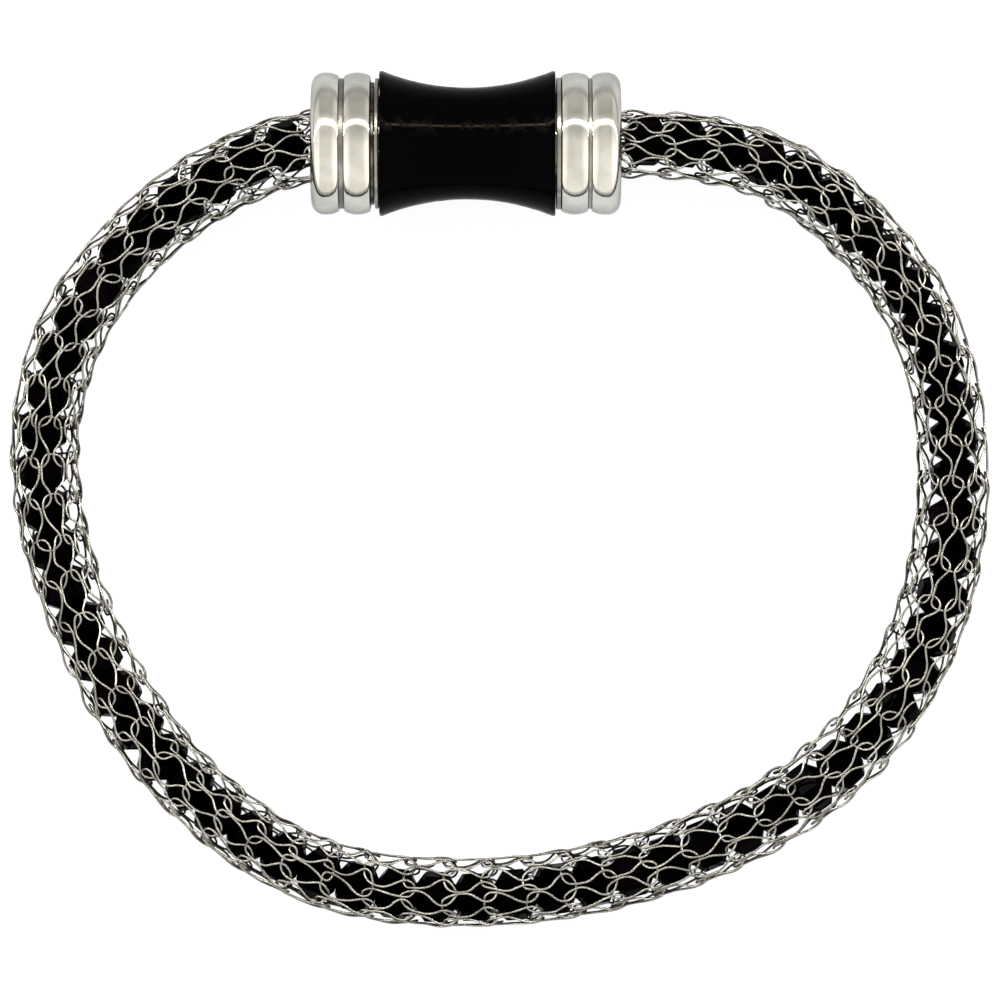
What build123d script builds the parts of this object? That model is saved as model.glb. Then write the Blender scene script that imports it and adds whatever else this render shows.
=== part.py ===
# Bracelet of knitted wire tube, filled with faceted beads and closed by a waisted barrel clasp.
# It lies on its side: +X and +Y are in the plane of the band, +Z is up.
# The origin is at the middle of the base. All sizes are in millimetres.
import os
from math import cos, pi, radians, sin, tan

from build123d import *

# Knitted tube
tube_diameter = 5.4
tube_wall = 0.35
tube_twist = -135.0

# Openings of the net: rows along the tube, columns round it
net_rows = 30
net_columns = 4
gap_length = 5.4
gap_width = 3.0
gap_start_reach = 1.6
gap_depth = 1.4
gap_first_turn = 30.0

# Faceted beads on their thread, which wanders slowly from side to side in the tube
bead_pitch = 3.0
bead_clearance = 0.27
bead_diameter = 3.6
bead_end_diameter = 1.7
bead_facets = 8
bead_slope = 54.0
bead_hole = 1.2
bead_turn_step = 17.0
string_shift_outwards = 0.17
string_wave = 0.18
string_wave_length = 44.0
thread_diameter = 0.3

# Clasp, along X: caps, the barrel between them and the post inside
clasp_y = 27.05
clasp_left = -14.3
clasp_right = 9.15
cap_length = 4.5
cap_face_diameter = 8.4
face_round_x = 0.22
face_round_radius = 5.05
ring_diameter = 10.8
ring_edge_diameter = 10.3
ring_crown_radius = 3.0
groove_diameter = 9.9
left_ring_width = 2.1
left_groove_width = 0.38
right_ring_width = 2.2
right_groove_width = 0.26
parting_width = 0.28
parting_diameter = 9.3
flange_diameter = 9.9
flange_thickness = 0.27
flange_chamfer = 0.05
neck_diameter = 10.0
neck_length = 0.4
barrel_diameter = 11.0
barrel_waist_diameter = 8.5
barrel_rim = 0.25
bore_diameter = 5.6
bore_depth = 3.6
bore_mouth_chamfer = 0.3
post_diameter = 5.0
post_inset = 0.5
piece_gap = 0.05

clasp_z = barrel_diameter / 2
tube_floor_z = tube_diameter / 2
tube_start_x = clasp_left + bore_depth - 2 * piece_gap
tube_end_x = clasp_right - bore_depth + 2 * piece_gap

# Corners of the band's route, from the left cap round the wrist to the right cap.
# It leaves each cap at the height of the clasp and comes down onto the surface.
band_route = [
    (tube_start_x, clasp_y, clasp_z),
    (-14.8, clasp_y, clasp_z),
    (-20.6, 24.9, 5.3),
    (-24.9, 22.2, 4.8),
    (-29.1, 18.4, 4.1),
    (-33.1, 12.6, 3.3),
    (-34.9, 5.5, 2.85),
    (-34.3, -1.8, tube_floor_z),
    (-32.2, -8.7, tube_floor_z),
    (-29.0, -15.2, tube_floor_z),
    (-24.7, -21.0, tube_floor_z),
    (-19.2, -25.8, tube_floor_z),
    (-12.7, -29.0, tube_floor_z),
    (-5.5, -30.0, tube_floor_z),
    (1.8, -29.8, tube_floor_z),
    (8.9, -28.6, tube_floor_z),
    (15.8, -26.4, tube_floor_z),
    (22.3, -23.0, tube_floor_z),
    (27.6, -18.6, tube_floor_z),
    (31.4, -12.9, tube_floor_z),
    (33.7, -6.5, tube_floor_z),
    (34.7, 0.8, tube_floor_z),
    (34.2, 8.1, 2.85),
    (32.0, 14.6, 3.3),
    (28.2, 19.8, 4.0),
    (23.4, 23.9, 4.7),
    (18.2, 26.3, 5.3),
    (12.6, clasp_y, clasp_z),
    (tube_end_x, clasp_y, clasp_z),
]


def corner_radii(points):
    # The largest arc that the two runs at each corner leave room for.
    radii = []
    for before, corner, after in zip(points, points[1:], points[2:]):
        run_in = Vector(*corner) - Vector(*before)
        run_out = Vector(*after) - Vector(*corner)
        shorter_run = min(run_in.length, run_out.length)
        half_turn = radians(run_in.get_angle(run_out)) / 2
        radii.append(0.45 * shorter_run / tan(half_turn))
    return radii


band_radii = corner_radii(band_route)
print("band radii", [round(radius, 1) for radius in band_radii])

with BuildLine() as band_line:
    FilletPolyline(*band_route, radius=band_radii)
band_path = band_line.wire()
band_length = band_path.length
start_plane = Plane(origin=band_route[0], x_dir=(0, 1, 0), z_dir=(-1, 0, 0))


def band_place(distance, turn):
    # Place on the band: z along it, x at the given turn from outwards towards up.
    centre = band_path.position_at(distance, position_mode=PositionMode.LENGTH)
    along = band_path.tangent_at(distance, position_mode=PositionMode.LENGTH)
    outwards = along.cross(Vector(0, 0, 1)).normalized()
    upwards = outwards.cross(along).normalized()
    side = outwards * cos(radians(turn)) + upwards * sin(radians(turn))
    return Plane(origin=centre, x_dir=side, z_dir=along).location


# One opening of the net: a pointed eye along z, cut outwards through the wall along x
with BuildPart() as net_gap:
    with BuildSketch(Plane.YZ.offset(gap_start_reach)):
        with BuildLine():
            tip, other_tip = (0, gap_length / 2), (0, -gap_length / 2)
            ThreePointArc(other_tip, (gap_width / 2, 0), tip)
            ThreePointArc(tip, (-gap_width / 2, 0), other_tip)
        make_face()
    extrude(amount=gap_depth)

# Places of the openings, in an open net that turns slowly round the band
net_margin = bore_depth + gap_length / 2
net_pitch = (band_length - 2 * net_margin) / (net_rows - 1)
gap_places = []
for row in range(net_rows):
    row_distance = net_margin + row * net_pitch
    row_turn = gap_first_turn + tube_twist * row_distance / band_length
    for column in range(net_columns):
        gap_places.append(band_place(row_distance, row_turn + column * 360 / net_columns))

with BuildPart() as cut_tube:
    with BuildSketch(start_plane):
        Circle(tube_diameter / 2)
        Circle(tube_diameter / 2 - tube_wall, mode=Mode.SUBTRACT)
    sweep(path=band_path)
    tube_section = pi * (tube_diameter - tube_wall) * tube_wall
    print("tube volume", round(cut_tube.part.volume, 2))
    print("section times length", round(tube_section * band_length, 2))
    with Locations(*gap_places):
        add(net_gap.part, mode=Mode.SUBTRACT)

# Knitted tube: the largest solid, without the loose pieces that were cut out of its wall
with BuildPart() as mesh_sleeve:
    add(cut_tube.part.solids().sort_by(SortBy.VOLUME)[-1])

# One bead: a faceted double cone cut by the flat facets of its belt, and drilled
bead_length = bead_pitch - bead_clearance
cone_radius = bead_end_diameter / 2 + bead_length / 2 * tan(radians(bead_slope))
with BuildPart() as bead:
    with BuildSketch():
        RegularPolygon(cone_radius, bead_facets, major_radius=False)
    extrude(amount=bead_length / 2, both=True, taper=bead_slope)
    with BuildSketch(Plane.XY.offset(-bead_length / 2)):
        RegularPolygon(
            bead_diameter / 2, bead_facets, major_radius=False, rotation=180 / bead_facets
        )
    extrude(amount=bead_length, mode=Mode.INTERSECT)
    Hole(bead_hole / 2)

# String of beads, from cap to cap
bead_count = int((band_length - 2 * bore_depth) / bead_pitch)
first_bead = (band_length - (bead_count - 1) * bead_pitch) / 2
bead_places = []
for number in range(bead_count):
    distance = first_bead + number * bead_pitch
    wave = string_wave * cos(2 * pi * distance / string_wave_length)
    shift = string_shift_outwards + wave
    shifted = band_place(distance, 0) * Location((shift, 0, 0))
    bead_places.append(shifted * Rotation(0, 0, number * bead_turn_step))

with BuildPart() as bead_string:
    with Locations(*bead_places):
        add(bead.part)

# Thread through the beads
with BuildPart() as bead_thread:
    with BuildSketch(start_plane):
        Circle(thread_diameter / 2)
    sweep(path=band_path)

clasp_axis = Axis((0, clasp_y, clasp_z), (1, 0, 0))
parting_x = clasp_left + cap_length + parting_width
flange_x = parting_x + piece_gap
barrel_x = flange_x + flange_thickness + piece_gap
barrel_end_x = clasp_right - cap_length - neck_length - piece_gap
barrel_length = barrel_end_x - barrel_x
post_start_x = clasp_left + cap_length - post_inset
post_end_x = clasp_right - cap_length + post_inset


def clasp_plane(x, direction=1):
    # Plane through the clasp's axis at x: its own x runs along the axis, its y outwards.
    return Plane(origin=(x, clasp_y, clasp_z), x_dir=(direction, 0, 0), z_dir=(0, 0, direction))


def draw_cap(ring_width, groove_width, step_length, step_diameter):
    # Half section of a cap from its mouth: two rounded rings, a groove and an end step.
    ring_radius, edge_radius = ring_diameter / 2, ring_edge_diameter / 2
    groove_radius, step_radius = groove_diameter / 2, step_diameter / 2
    second_ring = ring_width + groove_width
    step_end = cap_length + step_length
    face_corner = (0, cap_face_diameter / 2)
    first_crown = (ring_width / 2, ring_radius)
    second_crown = ((second_ring + cap_length) / 2, ring_radius)
    ThreePointArc(face_corner, (face_round_x, face_round_radius), first_crown)
    RadiusArc(first_crown, (ring_width, edge_radius), ring_crown_radius)
    Line((ring_width, edge_radius), (ring_width, groove_radius))
    Line((ring_width, groove_radius), (second_ring, groove_radius))
    Line((second_ring, groove_radius), (second_ring, edge_radius))
    ThreePointArc((second_ring, edge_radius), second_crown, (cap_length, edge_radius))
    Line((cap_length, edge_radius), (cap_length, step_radius))
    Line((cap_length, step_radius), (step_end, step_radius))
    Polyline((step_end, step_radius), (step_end, 0), (0, 0), face_corner)


def bore_cap(mouth_x, direction, step_length):
    # Bore for the tube, its chamfered mouth, and the recess for the post.
    mouth_plane = Plane(origin=(mouth_x, clasp_y, clasp_z), z_dir=(direction, 0, 0))
    with BuildSketch(mouth_plane) as bore:
        Circle(bore_diameter / 2)
    extrude(bore.sketch, amount=bore_depth, mode=Mode.SUBTRACT)
    with BuildSketch(mouth_plane.offset(cap_length - post_inset - piece_gap)) as recess:
        Circle(post_diameter / 2 + piece_gap)
    extrude(recess.sketch, amount=step_length + post_inset + piece_gap, mode=Mode.SUBTRACT)
    mouth_edges = edges().filter_by(GeomType.CIRCLE).filter_by_position(Axis.X, mouth_x, mouth_x)
    chamfer(mouth_edges.sort_by(SortBy.RADIUS)[0], bore_mouth_chamfer)


# Left end cap: two rings and the narrow step at the clasp's parting
with BuildPart() as left_end_cap:
    with BuildSketch(clasp_plane(clasp_left)):
        with BuildLine():
            draw_cap(left_ring_width, left_groove_width, parting_width, parting_diameter)
        make_face()
    revolve(axis=clasp_axis)
    bore_cap(clasp_left, 1, parting_width)

# Right end cap: two rings and the short neck against the barrel
with BuildPart() as right_end_cap:
    with BuildSketch(clasp_plane(clasp_right, -1)):
        with BuildLine():
            draw_cap(right_ring_width, right_groove_width, neck_length, neck_diameter)
        make_face()
    revolve(axis=clasp_axis)
    bore_cap(clasp_right, -1, neck_length)

# Steel disc on the barrel's left end
with BuildPart() as barrel_flange:
    with BuildSketch(Plane(origin=(flange_x, clasp_y, clasp_z), z_dir=(1, 0, 0))):
        Circle(flange_diameter / 2)
        Circle(post_diameter / 2 + piece_gap, mode=Mode.SUBTRACT)
    extrude(amount=flange_thickness)
    chamfer(edges().filter_by(GeomType.CIRCLE).group_by(SortBy.RADIUS)[-1], flange_chamfer)

# Barrel: a waist between two thin sharp rims, bored for the post
rim_radius = barrel_diameter / 2
with BuildPart() as clasp_barrel:
    with BuildSketch(clasp_plane(barrel_x)):
        with BuildLine():
            Polyline((0, rim_radius), (0, 0), (barrel_length, 0), (barrel_length, rim_radius))
            Line((0, rim_radius), (barrel_rim, rim_radius))
            ThreePointArc(
                (barrel_rim, rim_radius),
                (barrel_length / 2, barrel_waist_diameter / 2),
                (barrel_length - barrel_rim, rim_radius),
            )
            Line((barrel_length - barrel_rim, rim_radius), (barrel_length, rim_radius))
        make_face()
    revolve(axis=clasp_axis)
    with BuildSketch(Plane(origin=(barrel_x, clasp_y, clasp_z), z_dir=(1, 0, 0))):
        Circle(post_diameter / 2 + piece_gap)
    extrude(amount=barrel_length, mode=Mode.SUBTRACT)

# Hidden post that the caps and the barrel sit on
with BuildPart() as clasp_post:
    with BuildSketch(Plane(origin=(post_start_x, clasp_y, clasp_z), z_dir=(1, 0, 0))):
        Circle(post_diameter / 2)
    extrude(amount=post_end_x - post_start_x)

os.makedirs("parts", exist_ok=True)

mesh_sleeve.part.label = "mesh_sleeve"
export_step(mesh_sleeve.part, "parts/mesh_sleeve.step")
bead_string.part.label = "bead_string"
export_step(bead_string.part, "parts/bead_string.step")
bead_thread.part.label = "bead_thread"
export_step(bead_thread.part, "parts/bead_thread.step")
left_end_cap.part.label = "left_end_cap"
export_step(left_end_cap.part, "parts/left_end_cap.step")
right_end_cap.part.label = "right_end_cap"
export_step(right_end_cap.part, "parts/right_end_cap.step")
barrel_flange.part.label = "barrel_flange"
export_step(barrel_flange.part, "parts/barrel_flange.step")
clasp_barrel.part.label = "clasp_barrel"
export_step(clasp_barrel.part, "parts/clasp_barrel.step")
clasp_post.part.label = "clasp_post"
export_step(clasp_post.part, "parts/clasp_post.step")
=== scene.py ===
# Mesh bracelet: a knitted steel wire tube filled with black glass beads, and its barrel clasp.
# Everything is in metres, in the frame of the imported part: it lies on z = 0 with +Z up.
import math

import bmesh
import bpy
import numpy as np
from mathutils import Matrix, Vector, kdtree, noise


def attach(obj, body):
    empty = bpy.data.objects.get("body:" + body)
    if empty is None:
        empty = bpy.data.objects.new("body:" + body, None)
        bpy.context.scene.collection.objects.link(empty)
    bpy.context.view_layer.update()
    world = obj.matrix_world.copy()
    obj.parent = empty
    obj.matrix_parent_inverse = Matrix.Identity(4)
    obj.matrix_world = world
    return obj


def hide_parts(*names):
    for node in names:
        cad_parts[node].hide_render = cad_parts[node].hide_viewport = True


MM = 0.001

# Knitted wire: sizes in millimetres, turns in degrees, and the last room in course lengths
WIRE_DIAMETER = 0.175
WIRE_SIDES_RESOLUTION = 1
KNIT_DIAMETER = 5.4
WALES = 8
COURSES = 60
KNIT_TWIST = -135.0
KNIT_FIRST_TURN = 20.0
COURSE_TILT = 0.18
KNIT_FLOOR_GAP = 0.02
LAST_COURSE_ROOM = 0.1

# How far the stitches stray: along and outwards in millimetres, round in radians, how many
# millimetres one wave of it takes, and in such waves the size and places of the noise rings
STRAY_ALONG = 0.30
STRAY_ROUND = 0.19
STRAY_OUT = 0.10
STRAY_SPACING = 2.4
STRAY_TURN_REACH = 1.7
ROUND_STRAY_SHIFT = (31.0, 7.0, 3.0)
OUT_STRAY_SHIFT = (5.0, 43.0, 19.0)

# Where the painted shade on the band's underside begins and is full, as heights in shares of
# its radius
UNDERSIDE_SHADE_START = 0.3
UNDERSIDE_SHADE_FULL = -0.3

# Beads, in millimetres
BEAD_COUNT = 60
BEAD_PITCH = 3.0
BEAD_LENGTH = 3.1
BEAD_RADIUS = 1.8
BEAD_END_RADIUS = 0.85
BEAD_FACETS = 8
BEAD_SLOPE = 54.0
BEAD_TURN_STEP = 17.0
BEAD_EDGE_ROUND = 0.04
STRING_SHIFT = 0.2
STRING_WAVE = 0.18
STRING_WAVE_LENGTH = 44.0

# Clasp, in millimetres
CLASP_Y = 27.05
CLASP_Z = 5.5
CLASP_LEFT = -14.3
CLASP_RIGHT = 9.15
CAP_LENGTH = 4.5
BORE_DEPTH = 3.6
BORE_RADIUS = 2.8
BORE_CHAMFER = 0.3
POST_RECESS_RADIUS = 2.55
POST_RECESS_DEPTH = 0.55
RING_RADIUS = 5.4
RING_EDGE_RADIUS = 5.15
GROOVE_RADIUS = 4.95
CAP_FACE_RADIUS = 4.2
CAP_FACE_CURVE = (0.22, 5.05)
RING_SHOULDER_SHARE = 0.8
RING_SHOULDER_RADIUS = 5.33
CAP_FLOOR_HOLE_RADIUS = 0.3
CAP_EDGE_ROUND = 0.09
LEFT_RING = 2.1
LEFT_GROOVE = 0.38
RIGHT_RING = 2.2
RIGHT_GROOVE = 0.26
PARTING_LENGTH = 0.28
PARTING_RADIUS = 4.65
NECK_LENGTH = 0.4
NECK_RADIUS = 5.0
FLANGE_THICKNESS = 0.27
FLANGE_RADIUS = 4.95
FLANGE_EDGE_ROUND = 0.05
PIECE_GAP = 0.05
BARREL_RADIUS = 5.5
BARREL_WAIST_RADIUS = 4.25
BARREL_RIM = 0.25
BARREL_EDGE_ROUND = 0.06
BARREL_RUBBED_WIDTH = 0.12
TURNING_STEPS = 128

# Painted shade on the clasp, a dark brown colour in its grooves and between its pieces: how
# strong it is in each place, from 0 to 1, how far it reaches past a groove's ends and over its
# floor, and the smallest radius that it is looked for at
SHADE_IN_LEFT_GROOVE = 0.75
SHADE_IN_PARTING = 1.0
SHADE_IN_RIGHT_GROOVE = 0.55
SHADE_ON_NECK = 0.6
SHADE_ON_FLANGE = 0.65
SHADE_PAST_ENDS = 0.02
SHADE_OVER_FLOOR = 0.1
SHADE_LOWEST = 4.0

# The tent's warm white, as shares of red, green and blue
TENT_TINT = (1.05, 1.0, 0.9)

# Light under the board, in millimetres: middle, reach at full strength, and where it ends
GLOW_MIDDLE_Y = -14.0
GLOW_FULL = 48.0
GLOW_END = 105.0

# Corners of the band's route, the same as in the part's source
BAND_ROUTE = [
    (-10.8, CLASP_Y, CLASP_Z),
    (-14.8, CLASP_Y, CLASP_Z),
    (-20.6, 24.9, 5.3),
    (-24.9, 22.2, 4.8),
    (-29.1, 18.4, 4.1),
    (-33.1, 12.6, 3.3),
    (-34.9, 5.5, 2.85),
    (-34.3, -1.8, KNIT_DIAMETER / 2),
    (-32.2, -8.7, KNIT_DIAMETER / 2),
    (-29.0, -15.2, KNIT_DIAMETER / 2),
    (-24.7, -21.0, KNIT_DIAMETER / 2),
    (-19.2, -25.8, KNIT_DIAMETER / 2),
    (-12.7, -29.0, KNIT_DIAMETER / 2),
    (-5.5, -30.0, KNIT_DIAMETER / 2),
    (1.8, -29.8, KNIT_DIAMETER / 2),
    (8.9, -28.6, KNIT_DIAMETER / 2),
    (15.8, -26.4, KNIT_DIAMETER / 2),
    (22.3, -23.0, KNIT_DIAMETER / 2),
    (27.6, -18.6, KNIT_DIAMETER / 2),
    (31.4, -12.9, KNIT_DIAMETER / 2),
    (33.7, -6.5, KNIT_DIAMETER / 2),
    (34.7, 0.8, KNIT_DIAMETER / 2),
    (34.2, 8.1, 2.85),
    (32.0, 14.6, 3.3),
    (28.2, 19.8, 4.0),
    (23.4, 23.9, 4.7),
    (18.2, 26.3, 5.3),
    (12.6, CLASP_Y, CLASP_Z),
    (5.65, CLASP_Y, CLASP_Z),
]

# Half of one stitch, from the middle of the foot, behind the course before, to the middle of
# the head: along the band in course lengths from the head, across in half stitch widths,
# outwards in wire radii from the middle of the wall
HALF_STITCH = [
    {"along": -1.31, "across": 1.00, "out": -0.9},
    {"along": -1.30, "across": 0.62, "out": -0.9},
    {"along": -1.22, "across": 0.33, "out": -0.5},
    {"along": -1.08, "across": 0.17, "out": 0.4},
    {"along": -0.86, "across": 0.12, "out": 0.5},
    {"along": -0.66, "across": 0.27, "out": 1.0},
    {"along": -0.46, "across": 0.64, "out": 1.9},
    {"along": -0.30, "across": 0.83, "out": 2.2},
    {"along": -0.15, "across": 0.76, "out": 1.3},
    {"along": -0.03, "across": 0.38, "out": -1.1},
    {"along": 0.00, "across": 0.00, "out": -1.7},
]
FOOT = HALF_STITCH[0]["along"]

# How much wider than its mean radius the knit is along the band, in millimetres
KNIT_SWELL = [
    {"share": 0.00, "swell": 0.14},
    {"share": 0.10, "swell": 0.12},
    {"share": 0.25, "swell": -0.06},
    {"share": 0.50, "swell": 0.04},
    {"share": 0.72, "swell": 0.16},
    {"share": 0.84, "swell": 0.08},
    {"share": 1.00, "swell": -0.12},
]


def start_clean():
    # Leaves object mode with nothing selected.
    if bpy.context.object and bpy.context.object.mode != "OBJECT":
        bpy.ops.object.mode_set(mode="OBJECT")
    bpy.ops.object.select_all(action="DESELECT")


def apply_modifiers(piece):
    start_clean()
    piece.select_set(True)
    bpy.context.view_layer.objects.active = piece
    for modifier in list(piece.modifiers):
        bpy.ops.object.modifier_apply(modifier=modifier.name)


def finish_piece(piece, body, slot, material, *nodes):
    # Puts the piece on its body, gives it its finish and hides the nodes that it stands for.
    piece.data.materials.clear()
    piece.data.materials.append(material)
    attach(piece, body)
    if nodes:
        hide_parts(*nodes)
    return piece


# Materials


def linear(hex_colour):
    # sRGB hex to the linear colour that a shader takes.
    channels = [int(hex_colour[i : i + 2], 16) / 255 for i in (1, 3, 5)]
    curved = [c / 12.92 if c <= 0.04045 else ((c + 0.055) / 1.055) ** 2.4 for c in channels]
    return (*curved, 1.0)


def add_node(tree, kind, inputs=(), **settings):
    # Adds a node, sets its properties, and sets or links its inputs.
    made = tree.nodes.new(kind)
    for name, value in settings.items():
        setattr(made, name, value)
    for name, value in dict(inputs).items():
        if isinstance(value, bpy.types.NodeSocket):
            tree.links.new(value, made.inputs[name])
        else:
            made.inputs[name].default_value = value
    return made


def per_metre(size):
    # The scale of a pattern whose marks are of that size in millimetres.
    return 1 / (size * MM)


def new_material(name):
    material = bpy.data.materials.new(name)
    material.use_nodes = True
    tree = material.node_tree
    tree.nodes.clear()
    return material, tree


def drawn_stainless_wire():
    # Drawn stainless wire: grey with a warm cast, not mirror bright, because the die leaves
    # fine lines and the knitting needles rub it. The underside of the band is darkened, a
    # painted shade. The lines are far too fine to show, so they are drawn as rubs of 0.2 mm.
    material, tree = new_material("drawn_stainless_wire")
    place = add_node(tree, "ShaderNodeTexCoord")
    stain = add_node(
        tree,
        "ShaderNodeTexNoise",
        {"Vector": place.outputs["Object"], "Scale": per_metre(1.43), "Detail": 3.0},
    )
    tone = add_node(tree, "ShaderNodeValToRGB", {"Fac": stain.outputs["Fac"]})
    tone.color_ramp.elements[0].position = 0.32
    tone.color_ramp.elements[0].color = linear("#6C6B68")
    tone.color_ramp.elements[1].position = 0.68
    tone.color_ramp.elements[1].color = linear("#959592")
    # Painted shade: the colour is mixed towards dark grey on the band's underside.
    under_shade = add_node(tree, "ShaderNodeAttribute", attribute_name="underside")
    shade_dulled = add_node(
        tree,
        "ShaderNodeMix",
        {"Factor": under_shade.outputs["Fac"], 6: tone.outputs["Color"], 7: linear("#403E3B")},
        data_type="RGBA",
    )
    rub = add_node(
        tree,
        "ShaderNodeTexNoise",
        {"Vector": place.outputs["Object"], "Scale": per_metre(0.2), "Detail": 2.0},
    )
    rough = add_node(
        tree,
        "ShaderNodeMapRange",
        {
            "Value": rub.outputs["Fac"],
            "From Min": 0.3,
            "From Max": 0.7,
            "To Min": 0.2,
            "To Max": 0.36,
        },
    )
    bump = add_node(
        tree,
        "ShaderNodeBump",
        {"Height": rub.outputs["Fac"], "Strength": 0.2, "Distance": 0.01 * MM},
    )
    surface = add_node(
        tree,
        "ShaderNodeBsdfPrincipled",
        {
            "Base Color": shade_dulled.outputs[2],
            "Roughness": rough.outputs["Result"],
            "Normal": bump.outputs["Normal"],
            "Metallic": 1.0,
            "Specular Tint": linear("#585858"),
        },
    )
    add_node(tree, "ShaderNodeOutputMaterial", {"Surface": surface.outputs["BSDF"]})
    return material


def polished_steel():
    # Turned and polished stainless steel: near mirror, with faint rings left by the turning,
    # soft wiping marks, and painted shade, a dark brown colour, in the grooves and between the
    # pieces.
    # The turning's rings are too fine to show, so they are drawn 0.11 mm apart.
    material, tree = new_material("polished_steel")
    place = add_node(tree, "ShaderNodeTexCoord")
    along = per_metre(25)
    stretched = add_node(
        tree,
        "ShaderNodeMapping",
        {"Vector": place.outputs["Object"], "Scale": (per_metre(0.111), along, along)},
    )
    turning = add_node(
        tree,
        "ShaderNodeTexNoise",
        {"Vector": stretched.outputs["Vector"], "Scale": 1.0, "Detail": 2.0},
    )
    wiping = add_node(
        tree,
        "ShaderNodeTexNoise",
        {"Vector": place.outputs["Object"], "Scale": per_metre(2.38), "Detail": 4.0},
    )
    tone = add_node(tree, "ShaderNodeValToRGB", {"Fac": wiping.outputs["Fac"]})
    tone.color_ramp.elements[0].position = 0.35
    tone.color_ramp.elements[0].color = linear("#AEAEAA")
    tone.color_ramp.elements[1].position = 0.65
    tone.color_ramp.elements[1].color = linear("#C6C6C2")
    # Painted shade: where marked, the steel is mixed towards dark brown and made rougher.
    groove = add_node(tree, "ShaderNodeAttribute", attribute_name="paste")
    shade_breakup = add_node(
        tree,
        "ShaderNodeTexNoise",
        {"Vector": place.outputs["Object"], "Scale": per_metre(1.67), "Detail": 2.0},
    )
    shade_strength = add_node(
        tree,
        "ShaderNodeMapRange",
        {"Value": shade_breakup.outputs["Fac"], "From Min": 0.35, "From Max": 0.6, "To Min": 0.7},
    )
    paste = add_node(
        tree,
        "ShaderNodeMath",
        {0: groove.outputs["Fac"], 1: shade_strength.outputs["Result"]},
        operation="MULTIPLY",
    )
    colour = add_node(
        tree,
        "ShaderNodeMix",
        {"Factor": paste.outputs["Value"], 6: tone.outputs["Color"], 7: linear("#2A241D")},
        data_type="RGBA",
    )
    rough = add_node(
        tree,
        "ShaderNodeMapRange",
        {
            "Value": wiping.outputs["Fac"],
            "From Min": 0.3,
            "From Max": 0.7,
            "To Min": 0.05,
            "To Max": 0.1,
        },
    )
    shade_dulled = add_node(
        tree,
        "ShaderNodeMath",
        {0: paste.outputs["Value"], 1: 0.35, 2: rough.outputs["Result"]},
        operation="MULTIPLY_ADD",
    )
    bump = add_node(
        tree,
        "ShaderNodeBump",
        {"Height": turning.outputs["Fac"], "Strength": 0.08, "Distance": 0.01 * MM},
    )
    surface = add_node(
        tree,
        "ShaderNodeBsdfPrincipled",
        {
            "Base Color": colour.outputs[2],
            "Roughness": shade_dulled.outputs["Value"],
            "Normal": bump.outputs["Normal"],
            "Metallic": 1.0,
            "Specular Tint": linear("#CACACA"),
        },
    )
    add_node(tree, "ShaderNodeOutputMaterial", {"Surface": surface.outputs["BSDF"]})
    return material


def black_enamel():
    # Black enamel on the turned barrel: deep black with a hard gloss that is dulled in small
    # patches, and bare metal where the sharp left rim is rubbed.
    material, tree = new_material("black_enamel")
    place = add_node(tree, "ShaderNodeTexCoord")
    haze = add_node(
        tree,
        "ShaderNodeTexNoise",
        {"Vector": place.outputs["Object"], "Scale": per_metre(0.667), "Detail": 2.0},
    )
    rough = add_node(
        tree,
        "ShaderNodeMapRange",
        {
            "Value": haze.outputs["Fac"],
            "From Min": 0.47,
            "From Max": 0.6,
            "To Min": 0.03,
            "To Max": 0.32,
        },
    )
    chips = add_node(
        tree,
        "ShaderNodeTexNoise",
        {"Vector": place.outputs["Object"], "Scale": per_metre(1.11), "Detail": 2.0},
    )
    rim = add_node(tree, "ShaderNodeAttribute", attribute_name="rubbed")
    rubbed = add_node(
        tree,
        "ShaderNodeMath",
        {0: rim.outputs["Fac"], 1: chips.outputs["Fac"]},
        operation="MULTIPLY",
    )
    bare = add_node(
        tree,
        "ShaderNodeMapRange",
        {"Value": rubbed.outputs["Value"], "From Min": 0.6, "From Max": 0.66},
    )
    colour = add_node(
        tree,
        "ShaderNodeMix",
        {"Factor": bare.outputs["Result"], 6: linear("#010102"), 7: linear("#8F8A82")},
        data_type="RGBA",
    )
    surface = add_node(
        tree,
        "ShaderNodeBsdfPrincipled",
        {
            "Base Color": colour.outputs[2],
            "Roughness": rough.outputs["Result"],
            "Metallic": bare.outputs["Result"],
            "Specular IOR Level": 0.012,
            "Specular Tint": linear("#FFEAD6"),
        },
    )
    add_node(tree, "ShaderNodeOutputMaterial", {"Surface": surface.outputs["BSDF"]})
    return material


def black_glass():
    # Opaque black glass, cut and fire polished: plain black, with faint plum reflections
    # painted into its colour in places.
    material, tree = new_material("black_glass")
    place = add_node(tree, "ShaderNodeTexCoord")
    painted_reflection_noise = add_node(
        tree,
        "ShaderNodeTexNoise",
        {"Vector": place.outputs["Object"], "Scale": per_metre(4), "Detail": 2.0},
    )
    # Painted reflection: faint plum patches in the black colour.
    tone = add_node(tree, "ShaderNodeValToRGB", {"Fac": painted_reflection_noise.outputs["Fac"]})
    tone.color_ramp.elements[0].position = 0.5
    tone.color_ramp.elements[0].color = linear("#000000")
    tone.color_ramp.elements[1].position = 0.8
    tone.color_ramp.elements[1].color = linear("#060306")
    surface = add_node(
        tree,
        "ShaderNodeBsdfPrincipled",
        {"Base Color": tone.outputs["Color"], "Roughness": 0.1, "Specular IOR Level": 0.003},
    )
    add_node(tree, "ShaderNodeOutputMaterial", {"Surface": surface.outputs["BSDF"]})
    return material


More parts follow.
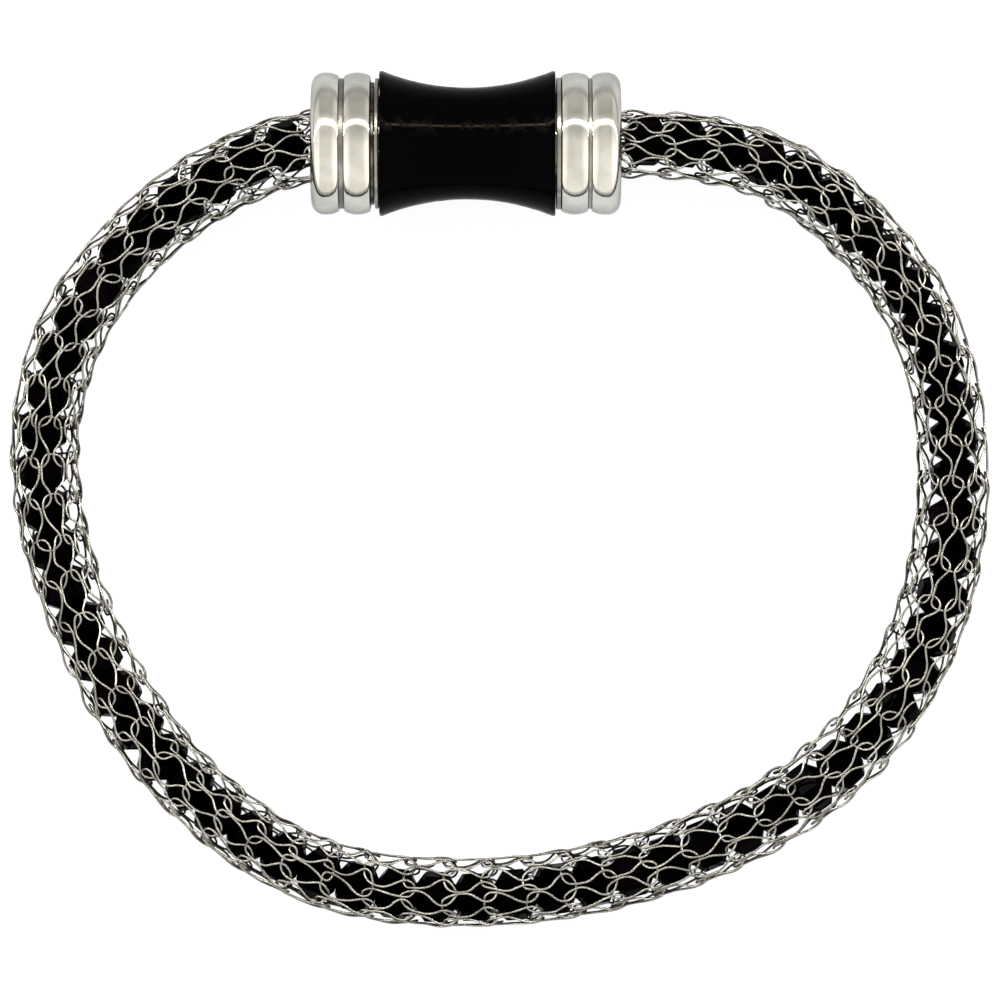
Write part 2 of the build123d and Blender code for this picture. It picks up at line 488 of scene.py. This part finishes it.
def nylon_thread():
    # Black nylon thread: matt, with strands twisted round each other.
    material, tree = new_material("nylon_thread")
    place = add_node(tree, "ShaderNodeTexCoord")
    strands = add_node(
        tree,
        "ShaderNodeTexWave",
        {"Vector": place.outputs["Object"], "Scale": per_metre(0.333), "Distortion": 1.5},
        bands_direction="DIAGONAL",
    )
    tone = add_node(tree, "ShaderNodeValToRGB", {"Fac": strands.outputs["Fac"]})
    tone.color_ramp.elements[0].color = linear("#050505")
    tone.color_ramp.elements[1].color = linear("#121212")
    bump = add_node(
        tree,
        "ShaderNodeBump",
        {"Height": strands.outputs["Fac"], "Strength": 0.4, "Distance": 0.02 * MM},
    )
    surface = add_node(
        tree,
        "ShaderNodeBsdfPrincipled",
        {
            "Base Color": tone.outputs["Color"],
            "Roughness": 0.7,
            "Normal": bump.outputs["Normal"],
        },
    )
    add_node(tree, "ShaderNodeOutputMaterial", {"Surface": surface.outputs["BSDF"]})
    return material


def lit_board():
    # White translucent board, lit from below under the bracelet and less all round it.
    material, tree = new_material("white_board")
    place = add_node(tree, "ShaderNodeTexCoord")
    grain = add_node(
        tree, "ShaderNodeTexNoise", {"Vector": place.outputs["Object"], "Scale": per_metre(25)}
    )
    tone = add_node(tree, "ShaderNodeValToRGB", {"Fac": grain.outputs["Fac"]})
    tone.color_ramp.elements[0].color = linear("#6A6A6A")
    tone.color_ramp.elements[1].color = linear("#6E6E6E")
    reach = add_node(
        tree,
        "ShaderNodeVectorMath",
        {0: place.outputs["Object"], 1: (0.0, GLOW_MIDDLE_Y * MM, 0.0)},
        operation="DISTANCE",
    )
    glow = add_node(
        tree,
        "ShaderNodeMapRange",
        {
            "Value": reach.outputs["Value"],
            "From Min": GLOW_FULL * MM,
            "From Max": GLOW_END * MM,
            "To Min": 0.86,
            "To Max": 0.28,
        },
        interpolation_type="SMOOTHSTEP",
    )
    surface = add_node(
        tree,
        "ShaderNodeBsdfPrincipled",
        {
            "Base Color": tone.outputs["Color"],
            "Roughness": 0.8,
            "Specular IOR Level": 0.0,
            "Emission Color": (0.985, 1.0, 1.02, 1.0),
            "Emission Strength": glow.outputs["Result"],
        },
    )
    add_node(tree, "ShaderNodeOutputMaterial", {"Surface": surface.outputs["BSDF"]})
    return material


# Route of the band


def read_route():
    # The band's line as points along a smooth spline, with the distance of each from the start.
    curve = bpy.data.curves.new("band_route", "CURVE")
    curve.dimensions = "3D"
    spline = curve.splines.new("NURBS")
    spline.points.add(len(BAND_ROUTE) - 1)
    for point, corner in zip(spline.points, BAND_ROUTE):
        point.co = (*(value * MM for value in corner), 1.0)
    spline.order_u = 3
    spline.use_endpoint_u = True
    spline.resolution_u = 24
    holder = bpy.data.objects.new("band_route", curve)
    line = bpy.data.meshes.new_from_object(holder)
    points = np.array([vertex.co for vertex in line.vertices])
    bpy.data.objects.remove(holder)
    bpy.data.meshes.remove(line)
    steps = np.linalg.norm(np.diff(points, axis=0), axis=1)
    distances = np.concatenate([[0.0], np.cumsum(steps)])
    return points, distances


def band_frames(along, points, distances):
    # Centre of the band at distances along it, and its directions forward, outwards and up.
    tangents = np.gradient(points, distances, axis=0)
    centre = np.stack([np.interp(along, distances, points[:, k]) for k in range(3)], axis=1)
    forward = np.stack([np.interp(along, distances, tangents[:, k]) for k in range(3)], axis=1)
    forward /= np.linalg.norm(forward, axis=1)[:, None]
    outwards = np.cross(forward, (0.0, 0.0, 1.0))
    outwards /= np.linalg.norm(outwards, axis=1)[:, None]
    upwards = np.cross(outwards, forward)
    return centre, forward, outwards, upwards


def stray_at(along, turn):
    # How far the knit strays from even at a place: along, round in radians, and outwards.
    beside = STRAY_TURN_REACH * math.cos(turn)
    above = STRAY_TURN_REACH * math.sin(turn)
    place = Vector((along / (STRAY_SPACING * MM), beside, above))
    stray_along = STRAY_ALONG * MM * noise.noise(place)
    stray_round = STRAY_ROUND * noise.noise(place + Vector(ROUND_STRAY_SHIFT))
    stray_out = STRAY_OUT * MM * noise.noise(place + Vector(OUT_STRAY_SHIFT))
    return stray_along, stray_round, stray_out


def place_on_band(along, turn, radius, points, distances):
    # Places on the band by distance along it, angle from outwards towards up, and radius.
    centre, forward, outwards, upwards = band_frames(along, points, distances)
    placed = centre + outwards * (radius * np.cos(turn))[:, None]
    placed += upwards * (radius * np.sin(turn))[:, None]
    placed[:, 2] = np.maximum(placed[:, 2], (WIRE_DIAMETER / 2 + KNIT_FLOOR_GAP) * MM)
    return placed


def knit_course(course, course_length):
    # One course: a closed ring of stitches, by distance along the band, angle and radius.
    wire_radius = WIRE_DIAMETER / 2 * MM
    widest = max(row["out"] for row in HALF_STITCH)
    wall_radius = KNIT_DIAMETER / 2 * MM - (widest + 1) * wire_radius
    ring = []
    for wale in range(WALES):
        rising = [(row, -1) for row in HALF_STITCH]
        falling = [(row, 1) for row in reversed(HALF_STITCH[1:-1])]
        for row, side in rising + falling:
            along = (course + row["along"] - FOOT) * course_length
            turn = (wale + side * row["across"] / 2) * 2 * math.pi / WALES
            ring.append((along, turn, wall_radius + row["out"] * wire_radius))
    return np.array(ring).T


def lay_course(course, course_length, points, distances):
    # The same ring laid on the band, tilted, turned by the slow twist, swollen and uneven.
    along, turn, radius = knit_course(course, course_length)
    stray = np.array([stray_at(x, a) for x, a in zip(along, turn)])
    along = along + stray[:, 0] + COURSE_TILT * MM * np.cos(turn)
    along = np.clip(along, 0.0, distances[-1])
    share = along / distances[-1]
    turn = turn + stray[:, 1] + math.radians(KNIT_FIRST_TURN) + math.radians(KNIT_TWIST) * share
    shares = [station["share"] for station in KNIT_SWELL]
    swells = [station["swell"] * MM for station in KNIT_SWELL]
    radius = radius + stray[:, 2] + np.interp(share, shares, swells)
    return place_on_band(along, turn, radius, points, distances)


def paint_underside_shade(piece, points):
    # Writes a point attribute for painted shade: 0 on the band's upper part, growing to 1
    # underneath.
    tree = kdtree.KDTree(len(points))
    for number, point in enumerate(points):
        tree.insert(point, number)
    tree.balance()
    mark = piece.data.attributes.new("underside", "FLOAT", "POINT")
    for vertex in piece.data.vertices:
        middle, _, reach = tree.find(vertex.co)
        height = (vertex.co.z - middle.z) / reach
        share = (UNDERSIDE_SHADE_START - height) / (UNDERSIDE_SHADE_START - UNDERSIDE_SHADE_FULL)
        mark.data[vertex.index].value = min(max(share, 0.0), 1.0)


def knit_wire(material, points, distances):
    # Two lengths of knit, each of many courses of one even wire that hook into each other.
    course_length = distances[-1] / (COURSES - 1 - FOOT + LAST_COURSE_ROOM)
    half = COURSES // 2
    for name, first in (("wire_knit_a", 0), ("wire_knit_b", half)):
        curve = bpy.data.curves.new(name, "CURVE")
        curve.dimensions = "3D"
        for course in range(first, first + half):
            places = lay_course(course, course_length, points, distances)
            spline = curve.splines.new("BEZIER")
            spline.bezier_points.add(len(places) - 1)
            for point, place in zip(spline.bezier_points, places):
                point.co = place
                point.handle_left_type = "AUTO"
                point.handle_right_type = "AUTO"
            spline.use_cyclic_u = True
            spline.resolution_u = 3
        curve.bevel_depth = WIRE_DIAMETER / 2 * MM
        curve.bevel_resolution = WIRE_SIDES_RESOLUTION
        start_clean()
        piece = bpy.data.objects.new(name, curve)
        bpy.context.scene.collection.objects.link(piece)
        piece.select_set(True)
        bpy.context.view_layer.objects.active = piece
        bpy.ops.object.convert(target="MESH")
        bpy.ops.object.shade_smooth()
        paint_underside_shade(bpy.context.object, points)
        finish_piece(bpy.context.object, "root", "steel_wire", material, "mesh_sleeve")


# Beads


def bead_corners():
    # Corners of one bead along X: two small end faces, eight slopes to each side of the belt,
    # and the belt's eight flats, which stand half a step round from the slopes.
    step = 2 * math.pi / BEAD_FACETS
    corner = BEAD_RADIUS / math.cos(step / 2)
    rise = math.tan(math.radians(BEAD_SLOPE))
    wide_x = BEAD_LENGTH / 2 - (corner - BEAD_END_RADIUS) / rise
    narrow_x = BEAD_LENGTH / 2 - (BEAD_RADIUS * math.cos(step / 2) - BEAD_END_RADIUS) / rise
    end_corner = BEAD_END_RADIUS / math.cos(step / 2)
    corners = []
    for k in range(BEAD_FACETS):
        for side in (-1, 1):
            corners.append((side * wide_x, corner, k * step))
            corners.append((side * narrow_x, BEAD_RADIUS, (k + 0.5) * step))
            corners.append((side * BEAD_LENGTH / 2, end_corner, (k + 0.5) * step))
    return corners


def string_beads(material, points, distances):
    # All the beads in one piece, set along the band and shifted by the string's slow wave.
    first = (distances[-1] / MM - (BEAD_COUNT - 1) * BEAD_PITCH) / 2
    along = np.array([first + number * BEAD_PITCH for number in range(BEAD_COUNT)])
    shift = STRING_SHIFT + STRING_WAVE * np.cos(2 * math.pi * along / STRING_WAVE_LENGTH)
    centre, forward, outwards, upwards = band_frames(along * MM, points, distances)
    centre += outwards * (shift * MM)[:, None]
    build = bmesh.new()
    for number in range(BEAD_COUNT):
        start_turn = math.radians(number * BEAD_TURN_STEP)
        made = []
        for x, radius, turn in bead_corners():
            side = outwards[number] * math.cos(start_turn + turn)
            side = side + upwards[number] * math.sin(start_turn + turn)
            place = centre[number] + forward[number] * x * MM + side * radius * MM
            made.append(build.verts.new(place))
        bmesh.ops.convex_hull(build, input=made)
    bmesh.ops.dissolve_limit(
        build, angle_limit=math.radians(2), verts=build.verts[:], edges=build.edges[:]
    )
    bmesh.ops.recalc_face_normals(build, faces=build.faces[:])
    mesh = bpy.data.meshes.new("glass_beads")
    build.to_mesh(mesh)
    build.free()
    piece = bpy.data.objects.new("glass_beads", mesh)
    bpy.context.scene.collection.objects.link(piece)
    edges = piece.modifiers.new("edge_round", "BEVEL")
    edges.width = BEAD_EDGE_ROUND * MM
    edges.segments = 1
    edges.limit_method = "ANGLE"
    edges.angle_limit = math.radians(12)
    apply_modifiers(piece)
    return finish_piece(piece, "root", "black_glass", material, "bead_string")


# Turned pieces of the clasp


def arc_through(first, middle, last, count):
    # Points of the circular arc through three points, ends included.
    (ax, ay), (bx, by), (cx, cy) = first, middle, last
    d = 2 * (ax * (by - cy) + bx * (cy - ay) + cx * (ay - by))
    a2, b2, c2 = ax * ax + ay * ay, bx * bx + by * by, cx * cx + cy * cy
    ux = (a2 * (by - cy) + b2 * (cy - ay) + c2 * (ay - by)) / d
    uy = (a2 * (cx - bx) + b2 * (ax - cx) + c2 * (bx - ax)) / d
    radius = math.hypot(ax - ux, ay - uy)
    start = math.atan2(ay - uy, ax - ux)
    end = math.atan2(cy - uy, cx - ux)
    through = math.atan2(by - uy, bx - ux)
    full = 2 * math.pi
    if (through - start) % full > (end - start) % full:
        sweep = (end - start) % full - full
    else:
        sweep = (end - start) % full
    angles = [start + sweep * k / (count - 1) for k in range(count)]
    return [(ux + radius * math.cos(t), uy + radius * math.sin(t)) for t in angles]


def turned_piece(name, mouth_x, direction, outline, edge_round):
    # Spins an outline of (distance from the mouth, radius) round the clasp's axis.
    start_clean()
    bpy.ops.mesh.primitive_circle_add(vertices=len(outline), radius=MM, fill_type="NOTHING")
    piece = bpy.context.object
    piece.name = name
    piece.data.name = name
    axis = Vector((0.0, CLASP_Y * MM, CLASP_Z * MM))
    for vertex, (distance, radius) in zip(piece.data.vertices, outline):
        x = (mouth_x + direction * distance) * MM
        vertex.co = (x, axis.y, axis.z + radius * MM)
    bpy.ops.object.mode_set(mode="EDIT")
    bpy.ops.mesh.select_all(action="SELECT")
    bpy.ops.mesh.spin(
        steps=TURNING_STEPS, angle=2 * math.pi, center=axis, axis=(1.0, 0.0, 0.0)
    )
    bpy.ops.mesh.select_all(action="SELECT")
    bpy.ops.mesh.remove_doubles(threshold=0.002 * MM)
    bpy.ops.mesh.normals_make_consistent(inside=False)
    bpy.ops.object.mode_set(mode="OBJECT")
    rounding = piece.modifiers.new("edge_round", "BEVEL")
    rounding.width = edge_round * MM
    rounding.segments = 3
    rounding.limit_method = "ANGLE"
    rounding.angle_limit = math.radians(32)
    apply_modifiers(piece)
    bpy.ops.object.shade_smooth_by_angle(angle=math.radians(40))
    return piece


def mark_rings(piece, name, rings):
    # Writes a point attribute that has a ring's strength where x and the radius are inside it.
    # A ring is its two ends along x, its smallest and largest radius, and its strength.
    mark = piece.data.attributes.new(name, "FLOAT", "POINT")
    for vertex in piece.data.vertices:
        x = vertex.co.x / MM
        radius = math.hypot(vertex.co.y / MM - CLASP_Y, vertex.co.z / MM - CLASP_Z)
        strengths = [0.0]
        for start, end, low, high, strength in rings:
            if min(start, end) <= x <= max(start, end) and low <= radius <= high:
                strengths.append(strength)
        mark.data[vertex.index].value = max(strengths)


def cap_outline(ring_width, groove_width, step_length, step_radius):
    # The cap's section from its mouth: face, ring, groove, ring, end step, recess and bore.
    second = ring_width + groove_width
    end = CAP_LENGTH + step_length
    outline = [(0.0, BORE_RADIUS + BORE_CHAMFER)]
    outline += arc_through(
        (0.0, CAP_FACE_RADIUS), CAP_FACE_CURVE, (ring_width / 2, RING_RADIUS), count=9
    )
    outline += arc_through(
        (ring_width / 2, RING_RADIUS),
        (RING_SHOULDER_SHARE * ring_width, RING_SHOULDER_RADIUS),
        (ring_width, RING_EDGE_RADIUS),
        count=6,
    )[1:]
    outline += [(ring_width, GROOVE_RADIUS), (second, GROOVE_RADIUS)]
    outline += arc_through(
        (second, RING_EDGE_RADIUS),
        ((second + CAP_LENGTH) / 2, RING_RADIUS),
        (CAP_LENGTH, RING_EDGE_RADIUS),
        count=11,
    )
    outline += [(CAP_LENGTH, step_radius), (end, step_radius), (end, POST_RECESS_RADIUS)]
    floor_of_recess = CAP_LENGTH - POST_RECESS_DEPTH
    outline += [(floor_of_recess, POST_RECESS_RADIUS), (floor_of_recess, CAP_FLOOR_HOLE_RADIUS)]
    outline += [(BORE_DEPTH, CAP_FLOOR_HOLE_RADIUS), (BORE_DEPTH, BORE_RADIUS)]
    outline.append((BORE_CHAMFER, BORE_RADIUS))
    return outline


def make_left_cap(steel):
    # The cap at the left end, with painted shade in its groove and round the clasp's parting.
    parting_x = CLASP_LEFT + CAP_LENGTH
    groove_start = CLASP_LEFT + LEFT_RING
    groove_end = groove_start + LEFT_GROOVE
    outline = cap_outline(LEFT_RING, LEFT_GROOVE, PARTING_LENGTH, PARTING_RADIUS)
    cap = turned_piece("left_cap_turned", CLASP_LEFT, 1, outline, CAP_EDGE_ROUND)
    groove_ring = (
        groove_start - SHADE_PAST_ENDS,
        groove_end + SHADE_PAST_ENDS,
        SHADE_LOWEST,
        GROOVE_RADIUS + SHADE_OVER_FLOOR,
        SHADE_IN_LEFT_GROOVE,
    )
    parting_ring = (
        parting_x - SHADE_PAST_ENDS,
        parting_x + PARTING_LENGTH,
        POST_RECESS_RADIUS,
        PARTING_RADIUS + SHADE_OVER_FLOOR,
        SHADE_IN_PARTING,
    )
    mark_rings(cap, "paste", [groove_ring, parting_ring])
    finish_piece(cap, "root", "polished_steel", steel, "left_end_cap")


def make_right_cap(steel):
    # The cap at the right end, with painted shade in its groove and on its neck against the
    # barrel.
    neck_start = CLASP_RIGHT - CAP_LENGTH
    groove_start = CLASP_RIGHT - RIGHT_RING
    groove_end = groove_start - RIGHT_GROOVE
    outline = cap_outline(RIGHT_RING, RIGHT_GROOVE, NECK_LENGTH, NECK_RADIUS)
    cap = turned_piece("right_cap_turned", CLASP_RIGHT, -1, outline, CAP_EDGE_ROUND)
    groove_ring = (
        groove_start + SHADE_PAST_ENDS,
        groove_end - SHADE_PAST_ENDS,
        SHADE_LOWEST,
        GROOVE_RADIUS + SHADE_OVER_FLOOR,
        SHADE_IN_RIGHT_GROOVE,
    )
    neck_ring = (
        neck_start + SHADE_PAST_ENDS,
        neck_start - NECK_LENGTH,
        POST_RECESS_RADIUS,
        RING_RADIUS,
        SHADE_ON_NECK,
    )
    mark_rings(cap, "paste", [groove_ring, neck_ring])
    finish_piece(cap, "root", "polished_steel", steel, "right_end_cap")


def make_flange(steel):
    # The thin disc on the barrel's left end.
    flange_x = CLASP_LEFT + CAP_LENGTH + PARTING_LENGTH + PIECE_GAP
    outline = [
        (0.0, POST_RECESS_RADIUS),
        (0.0, FLANGE_RADIUS),
        (FLANGE_THICKNESS, FLANGE_RADIUS),
        (FLANGE_THICKNESS, POST_RECESS_RADIUS),
    ]
    flange = turned_piece("flange_turned", flange_x, 1, outline, FLANGE_EDGE_ROUND)
    flange_end = flange_x + FLANGE_THICKNESS
    # Painted shade over the whole flange.
    ring = (flange_x, flange_end, POST_RECESS_RADIUS, RING_RADIUS, SHADE_ON_FLANGE)
    mark_rings(flange, "paste", [ring])
    finish_piece(flange, "root", "polished_steel", steel, "barrel_flange")
    return flange_end


def make_barrel(enamel, flange_end):
    # The waisted barrel between the flange and the right cap's neck, with its rubbed left rim.
    barrel_x = flange_end + PIECE_GAP
    length = CLASP_RIGHT - CAP_LENGTH - NECK_LENGTH - PIECE_GAP - barrel_x
    outline = [(0.0, POST_RECESS_RADIUS), (0.0, BARREL_RADIUS)]
    outline += arc_through(
        (BARREL_RIM, BARREL_RADIUS),
        (length / 2, BARREL_WAIST_RADIUS),
        (length - BARREL_RIM, BARREL_RADIUS),
        count=41,
    )
    outline += [(length, BARREL_RADIUS), (length, POST_RECESS_RADIUS)]
    barrel = turned_piece("barrel_turned", barrel_x, 1, outline, BARREL_EDGE_ROUND)
    rim_ring = (
        barrel_x - BARREL_RUBBED_WIDTH,
        barrel_x + BARREL_RUBBED_WIDTH,
        BARREL_RADIUS - BARREL_RUBBED_WIDTH,
        BARREL_RADIUS + BARREL_RUBBED_WIDTH,
        1.0,
    )
    mark_rings(barrel, "rubbed", [rim_ring])
    finish_piece(barrel, "root", "black_enamel", enamel, "clasp_barrel")


def dress_node(name, material):
    # Gives a CAD node that stays its finish.
    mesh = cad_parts[name].data
    mesh.materials.clear()
    mesh.materials.append(material)


# Studio


def make_floor():
    start_clean()
    bpy.ops.mesh.primitive_plane_add(size=1.6, location=(0.0, 0.0, 0.0))
    floor = bpy.context.object
    floor.name = "floor"
    floor.data.materials.append(lit_board())


def make_studio():
    # A warm white tent: its brightness depends on the angle round X, from overhead towards +Y,
    # with a long lamp along X and whiter ends.
    world = bpy.data.worlds.new("tent")
    bpy.context.scene.world = world
    world.use_nodes = True
    tree = world.node_tree
    tree.nodes.clear()
    place = add_node(tree, "ShaderNodeTexCoord")
    parts = add_node(tree, "ShaderNodeSeparateXYZ", {"Vector": place.outputs["Generated"]})
    angle = add_node(
        tree,
        "ShaderNodeMath",
        {0: parts.outputs["Y"], 1: parts.outputs["Z"]},
        operation="ARCTAN2",
    )
    slide = add_node(
        tree,
        "ShaderNodeMapRange",
        {"Value": angle.outputs["Value"], "From Min": -math.pi, "From Max": math.pi},
    )
    tent = add_node(tree, "ShaderNodeValToRGB", {"Fac": slide.outputs["Result"]})
    bands = [
        {"angle": -180, "grey": 0.60},
        {"angle": -92, "grey": 0.60},
        {"angle": -88, "grey": 1.45},
        {"angle": -60, "grey": 1.50},
        {"angle": -25, "grey": 1.35},
        {"angle": 5, "grey": 1.12},
        {"angle": 26, "grey": 0.86},
        {"angle": 29, "grey": 1.40},
        {"angle": 32, "grey": 3.50},
        {"angle": 32.4, "grey": 48.0},
        {"angle": 34.9, "grey": 48.0},
        {"angle": 35.4, "grey": 3.50},
        {"angle": 37.5, "grey": 1.30},
        {"angle": 40, "grey": 0.95},
        {"angle": 50, "grey": 0.70},
        {"angle": 88, "grey": 0.80},
        {"angle": 92, "grey": 0.60},
        {"angle": 180, "grey": 0.60},
    ]
    ramp = tent.color_ramp
    ramp.elements[1].position = 1.0
    for band in bands[1:-1]:
        ramp.elements.new((band["angle"] + 180) / 360)
    for element, band in zip(ramp.elements, bands):
        grey = band["grey"]
        element.color = (*(part * grey for part in TENT_TINT), 1.0)
    sideways = add_node(tree, "ShaderNodeMath", {0: parts.outputs["X"]}, operation="ABSOLUTE")
    ends = add_node(
        tree,
        "ShaderNodeMapRange",
        {
            "Value": sideways.outputs["Value"],
            "From Min": 0.4,
            "From Max": 0.65,
            "To Min": 1.0,
            "To Max": 1.55,
        },
    )
    glow = add_node(
        tree,
        "ShaderNodeBackground",
        {"Color": tent.outputs["Color"], "Strength": ends.outputs["Result"]},
    )
    add_node(tree, "ShaderNodeOutputWorld", {"Surface": glow.outputs["Background"]})


def make_camera():
    # Straight above. The photograph's frame is 76 mm across at the middle of the bracelet.
    height, middle, frame_width = 0.6, 0.0045, 0.076
    camera = bpy.data.cameras.new("top")
    camera.sensor_width = 36.0
    camera.lens = camera.sensor_width * (height - middle) / frame_width
    camera.clip_start = 0.05
    holder = bpy.data.objects.new("top", camera)
    bpy.context.scene.collection.objects.link(holder)
    holder.location = (0.0, 0.0, height)
    bpy.context.scene.camera = holder


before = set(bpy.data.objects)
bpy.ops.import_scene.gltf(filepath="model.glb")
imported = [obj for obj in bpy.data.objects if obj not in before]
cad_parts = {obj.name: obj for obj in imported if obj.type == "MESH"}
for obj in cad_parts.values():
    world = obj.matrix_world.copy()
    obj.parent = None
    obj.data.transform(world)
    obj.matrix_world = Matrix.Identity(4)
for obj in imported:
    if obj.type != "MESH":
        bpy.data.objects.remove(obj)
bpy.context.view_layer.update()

wire = drawn_stainless_wire()
steel = polished_steel()
enamel = black_enamel()
glass = black_glass()
band_points, band_distances = read_route()
knit_wire(wire, band_points, band_distances)
string_beads(glass, band_points, band_distances)
make_left_cap(steel)
make_right_cap(steel)
make_barrel(enamel, make_flange(steel))
dress_node("bead_thread", nylon_thread())
dress_node("clasp_post", steel)
make_floor()
make_studio()
make_camera()
bpy.context.scene.view_settings.view_transform = "Standard"
